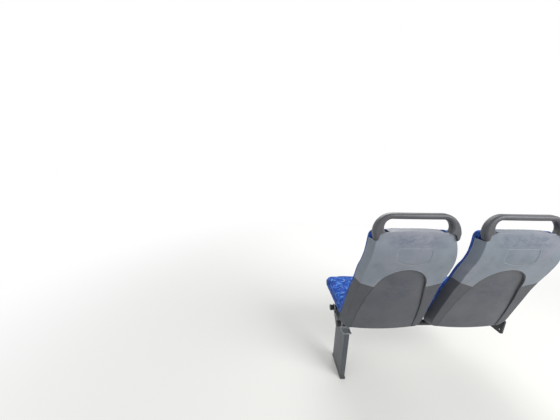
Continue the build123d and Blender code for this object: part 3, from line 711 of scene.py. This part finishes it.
def moveFaces(piece, test, shift):
    editFaces(piece, test)
    bpy.ops.transform.translate(value=shift)
    editDone()


def remesh(piece, voxel):
    addModifier(piece, "REMESH", mode="VOXEL", voxel_size=voxel, use_smooth_shade=True)
    addModifier(piece, "SMOOTH", iterations=2, factor=0.5)


def swell(piece, held, cap):
    # cloth filled with pressure; held points stay, and a point's way dies off towards cap
    start = [point.co.copy() for point in piece.data.vertices]
    group = piece.vertex_groups.new(name="held")
    group.add([point.index for point in piece.data.vertices if held(point)], 1.0, "REPLACE")
    pick(piece)
    bpy.ops.object.modifier_add(type="CLOTH")
    cloth = piece.modifiers[-1]
    cloth.settings.quality = cushions["quality"]
    cloth.settings.mass = cushions["mass"]
    cloth.settings.use_pressure = True
    cloth.settings.uniform_pressure_force = cushions["pressure"]
    cloth.settings.effector_weights.gravity = 0
    cloth.settings.vertex_group_mass = "held"
    cloth.collision_settings.use_collision = False
    cloth.point_cache.frame_start = 1
    cloth.point_cache.frame_end = cushions["frames"]
    for step in range(1, cushions["frames"] + 1):
        bpy.context.scene.frame_set(step)
    bpy.ops.object.modifier_apply(modifier=cloth.name)
    bpy.context.scene.frame_set(1)
    furthest = 0.0
    for point, before in zip(piece.data.vertices, start):
        shift = point.co - before
        furthest = max(furthest, shift.length)
        if shift.length > 0.00001:
            point.co = before + shift * (cap * (1 - math.exp(-shift.length / cap)) / shift.length)
    piece.vertex_groups.clear()
    print(piece.name, "swelled by up to", round(furthest * 1000, 1), "mm")


def layCloth(piece):
    # the cloth's own map in metres: each side of the cushion is cut flat from the roll
    mesh = piece.data
    while mesh.uv_layers:
        mesh.uv_layers.remove(mesh.uv_layers[0])
    layer = mesh.uv_layers.new(name="clothPlace")
    for face in mesh.polygons:
        n = face.normal
        for loop in face.loop_indices:
            p = mesh.vertices[mesh.loops[loop].vertex_index].co
            if abs(n.x) > max(abs(n.y), abs(n.z)):
                layer.data[loop].uv = (p.y + clothMap["sideFrom"], p.z)
            elif abs(n.y) > abs(n.z):
                layer.data[loop].uv = (p.x, p.z + clothMap["frontFrom"])
            else:
                layer.data[loop].uv = (p.x, p.y)


def onSurface(piece, points, lift):
    # each point moved to the cushion's surface and lifted off it, then the line is evened out
    placed = []
    for point in points:
        place, normal = piece.closest_point_on_mesh(point)[1:3]
        placed.append(place + normal * lift)
    for turn in range(pipe["evenPasses"]):
        placed = [(placed[i - 1] + 2 * placed[i] + placed[(i + 1) % len(placed)]) / 4
                  for i in range(len(placed))]
    return placed


def pressSeam(piece, points):
    # draws the cover in along a sewn line
    tree = kdtree.KDTree(len(points))
    for i, point in enumerate(points):
        tree.insert(point, i)
    tree.balance()
    normals = [point.normal.copy() for point in piece.data.vertices]
    for point, normal in zip(piece.data.vertices, normals):
        away = tree.find(point.co)[2] / seamPress["width"]
        if away < 1:
            point.co = point.co - normal * seamPress["depth"] * (0.5 + 0.5 * math.cos(math.pi * away))


def tubePiece(name, points, radius, closed):
    # a tube along the points; a point's fourth value is its share of the radius
    curve = bpy.data.curves.new(name, "CURVE")
    curve.dimensions = "3D"
    curve.bevel_depth = radius
    curve.bevel_resolution = 2
    curve.use_fill_caps = True
    line = curve.splines.new("POLY")
    line.points.add(len(points) - 1)
    for knot, (x, y, z, share) in zip(line.points, points):
        knot.co = (x, y, z, 1.0)
        knot.radius = share
    line.use_cyclic_u = closed
    pick(linkPiece(name, curve))
    bpy.ops.object.convert(target="MESH")
    return bpy.context.object


def cordPiece(name, points, radius):
    cord = tubePiece(name, [(*point, 1.0) for point in points], radius, True)
    smoothShade(cord, degrees=60)
    return cord


def sewPiping(cushion, seam, name):
    # the cover is made finer and drawn in along the seam, and the piping is laid into it
    addModifier(cushion, "SUBSURF", levels=1, render_levels=1)
    pressSeam(cushion, onSurface(cushion, evenPoints(seam, seamPress["step"]), 0.0))
    return cordPiece(name, onSurface(cushion, seam, pipe["lift"]), pipe["radius"])


def keepBand(piece):
    # keeps the loose shell that is widest across: the band outside the pan's rim
    editWhole(piece)
    bpy.ops.mesh.separate(type="LOOSE")
    editDone()
    shells = list(bpy.context.selected_objects)
    band = max(shells, key=lambda shell: shell.dimensions.x)
    piece.data = band.data
    for shell in shells:
        if shell != piece:
            bpy.data.objects.remove(shell)


def makeSeatCushion():
    look = seatCushion
    rake = math.radians(look["rake"])
    up = Vector((0, -math.sin(rake), math.cos(rake)))
    rim = Vector(look["panRear"]) + up * look["rimLift"]
    cushion = cadCopy("aisle_seat_pad", "aisleSeatCushion")
    seam = evenPoints(borderPoints(cushion, lambda face: face.normal.dot(up) > facing["seatTop"]
                      and (face.calc_center_median() - rim).dot(up) > look["topAboveRim"]), pipe["step"])
    # what hangs over the pan's rim is cut off below the rim's top and kept as its own piece
    tuck = linkPiece("aisleSeatTuck", cushion.data.copy())
    for piece, keepAbove in ((cushion, True), (tuck, False)):
        editWhole(piece)
        bpy.ops.mesh.bisect(plane_co=rim, plane_no=up, use_fill=True, clear_inner=keepAbove,
                            clear_outer=not keepAbove)
        editDone()
    lowSeam = evenPoints(borderPoints(tuck, lambda face: face.normal.dot(up) > facing["seatTop"]
                         and abs((face.calc_center_median() - rim).dot(up)) < seatTuck["cutWithin"]),
                         pipe["step"])
    keepBand(tuck)
    remesh(tuck, seatTuck["voxel"])
    # the cushion starts lower than the CAD pad, swells, and is drawn in along the piped seam
    resize(cushion, (look["wide"], look["long"], 1.0), (seatPadLow + seatPadHigh) / 2)
    moveFaces(cushion, lambda face: face.normal.dot(up) > facing["seatTop"], -up * look["lower"])
    remesh(cushion, cushions["voxel"])
    swell(cushion, lambda point: point.normal.dot(up) < facing["held"], look["swell"])
    addModifier(cushion, "SMOOTH", iterations=2, factor=0.5)
    for point in cushion.data.vertices:  # stays clear of the back cushion behind it
        point.co.y = max(point.co.y, seatPadLow.y + look["backGap"])
    piping = sewPiping(cushion, seam, "aisleSeatPiping")
    lowCord = cordPiece("aisleSeatLowCord", onSurface(tuck, lowSeam, seatTuck["cordLift"]),
                        seatTuck["cordRadius"])
    return [(cushion, look["fill"], "_seat_pad"), (tuck, seatTuck["fill"], None), (piping, None, None),
            (lowCord, None, None)]


def makeBackCushion():
    look = backCushion
    low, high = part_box("aisle_back_pad")
    middle = (low + high) / 2
    cushion = cadCopy("aisle_back_pad", "aisleBackCushion")
    seam = evenPoints(borderPoints(cushion, lambda face: face.normal.y > facing["backFront"]), pipe["step"])
    # it is made smaller from its top edge, which stays at the cover's
    resize(cushion, (look["smaller"], 1.0, look["smaller"]), (middle.x, middle.y, high.z))
    moveFaces(cushion, lambda face: face.normal.y > facing["backFront"], (0, -look["thinner"], 0))
    remesh(cushion, cushions["voxel"])
    swell(cushion, lambda point: point.normal.y < facing["held"], look["swell"])
    piping = sewPiping(cushion, seam, "aisleBackPiping")
    return [(cushion, look["fill"], "_back_pad"), (piping, None, None)]


def finishSewn(piece, seat, fill, padName):
    # piping has no fill, and the tucked band stands for no CAD pad
    if fill is None:
        dress(piece, finishes["piping"])
        return
    layCloth(piece)
    dress(piece, finishes["moquette"])
    if padName:
        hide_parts(seat + padName)


sewnPieces = makeSeatCushion() + makeBackCushion()
for piece, fill, padName in sewnPieces:
    finishSewn(piece, "aisle", fill, padName)
# each cushion is copied to the window seat, and the window pad is hidden
for piece, fill, padName in sewnPieces:
    twin = copyAside(piece, piece.name.replace("aisle", "window"), (seatStep, 0, 0))
    finishSewn(twin, "window", fill, padName)
print("cushions are made")


# Clamps and welds

clamp = {"rod": 0.003, "bend": 0.0182, "aside": 0.0184, "pastPlate": 0.0115}
nut = {"across": 0.010, "high": 0.005, "rim": 0.0019, "threadWide": 0.0002, "threadDeep": 0.0004,
       "chamfer": 0.0005}
bead = {"radius": 0.0019, "step": 0.0018, "waist": 0.72}
railBead = {"railAside": 0.1, "flank": 0.0155, "radius": 0.0158, "from": 33, "to": 147}
socketBead = {"behindEnd": 0.0004, "radius": 0.0195, "from": 0, "to": 352}
footBead = {"halfX": 0.0132, "halfY": 0.0752, "lift": 0.0004}
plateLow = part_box("leg_saddle")[0].z


def makeClamp(spot):
    # U-bolt: a round rod drawn up, spun over the bar and drawn down again
    footZ = plateLow - clamp["pastPlate"]
    pick()
    bpy.ops.mesh.primitive_circle_add(vertices=14, radius=clamp["rod"], fill_type="NGON",
                                      location=(spot.x, spot.y + clamp["bend"], footZ))
    rod = bpy.context.object
    bpy.ops.object.transform_apply(location=True)
    editWhole(rod)
    bpy.ops.mesh.extrude_region_move(TRANSFORM_OT_translate={"value": (0, 0, spot.z - footZ)})
    bpy.ops.mesh.spin(steps=16, angle=-math.pi, center=spot, axis=(1, 0, 0))
    bpy.ops.mesh.extrude_region_move(TRANSFORM_OT_translate={"value": (0, 0, footZ - spot.z)})
    bpy.ops.mesh.select_all(action="SELECT")
    bpy.ops.mesh.remove_doubles(threshold=0.00001)
    bpy.ops.mesh.normals_make_consistent(inside=False)
    editDone()
    smoothShade(rod, degrees=50)
    return rod


def makeNut(spot):
    # hexagon nut under the saddle's plate, with chamfered edges and a thread's groove round the rod
    pick()
    corner = nut["across"] / 2 / math.cos(math.pi / 6)
    bpy.ops.mesh.primitive_cylinder_add(vertices=6, radius=corner, depth=nut["high"],
                                        location=(spot.x, spot.y, plateLow - nut["high"] / 2))
    hexagon = bpy.context.object
    bpy.ops.object.transform_apply(location=True)
    editFaces(hexagon, lambda face: abs(face.normal.z) > 0.9)
    bpy.ops.mesh.inset(thickness=nut["rim"], depth=0.0)
    bpy.ops.mesh.inset(thickness=nut["threadWide"], depth=-nut["threadDeep"])
    editDone()
    addModifier(hexagon, "BEVEL", width=nut["chamfer"], segments=2, limit_method="ANGLE",
                angle_limit=math.radians(40))
    smoothShade(hexagon, degrees=35)
    return hexagon


def makeBead(points, closed):
    # weld bead: a line of small overlapping pools
    pools = [(*point, 1.0 if i % 2 else bead["waist"]) for i, point in enumerate(points)]
    weld = tubePiece("weld", pools, bead["radius"], closed)
    smoothShade(weld, degrees=70)
    return weld


def barArc(spot, look):
    # points a bead's step apart on an arc round the bar
    start = math.radians(look["from"])
    sweep = math.radians(look["to"]) - start
    count = max(6, round(look["radius"] * sweep / bead["step"]))
    turns = [start + sweep * i / count for i in range(count + 1)]
    return [Vector((spot.x, spot.y + look["radius"] * math.cos(a), spot.z + look["radius"] * math.sin(a)))
            for a in turns]


def repeat(model, places, slotName):
    # the model stands at the first place, and a copy of it goes to each other one
    first = places[0][1]
    for name, spot in places[1:]:
        dress(copyAside(model, name, spot - first), finishes[slotName])
    model.name = places[0][0]
    dress(model, finishes[slotName])


clampPlaces = []
nutPlaces = []
railBeadPlaces = []
socketBeadPlaces = []
for which in ("rear", "front"):
    low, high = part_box(which + "_crossbar")
    bar = (low + high) / 2
    for side, x in (("Outer", -clamp["aside"]), ("Inner", clamp["aside"])):
        clampPlaces.append((which + side + "Clamp", Vector((x, bar.y, bar.z))))
        for end, aside in (("Back", -clamp["bend"]), ("Fore", clamp["bend"])):
            nutPlaces.append((which + side + end + "Nut", Vector((x, bar.y + aside, bar.z))))
    # the rails are welded to the bars on both flanks, the wall sockets all round
    for seat, seatX in (("aisle", seatMiddle), ("window", seatMiddle + seatStep)):
        for hand, aside in (("Left", -railBead["railAside"]), ("Right", railBead["railAside"])):
            for tag, flank in (("A", -railBead["flank"]), ("B", railBead["flank"])):
                name = seat + hand + which.capitalize() + "Bead" + tag
                railBeadPlaces.append((name, Vector((seatX + aside + flank, bar.y, bar.z))))
    socketX = high.x - socketBead["behindEnd"]
    socketBeadPlaces.append((which + "SocketBead", Vector((socketX, bar.y, bar.z))))

repeat(makeClamp(clampPlaces[0][1]), clampPlaces, "zinc")
repeat(makeNut(nutPlaces[0][1]), nutPlaces, "zinc")
repeat(makeBead(barArc(railBeadPlaces[0][1], railBead), False), railBeadPlaces, "frame_steel")
socketRing = evenPoints(barArc(socketBeadPlaces[0][1], socketBead), bead["step"])
repeat(makeBead(socketRing, True), socketBeadPlaces, "frame_steel")

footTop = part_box("foot_plate")[1].z + footBead["lift"]
footCorners = [Vector((footBead["halfX"] * x, footBead["halfY"] * y, footTop))
               for x, y in ((-1, -1), (1, -1), (1, 1), (-1, 1))]
legFootBead = makeBead(evenPoints(footCorners, bead["step"]), True)
legFootBead.name = "legFootBead"
dress(legFootBead, finishes["leg_paint"])
print("clamps and welds are made")
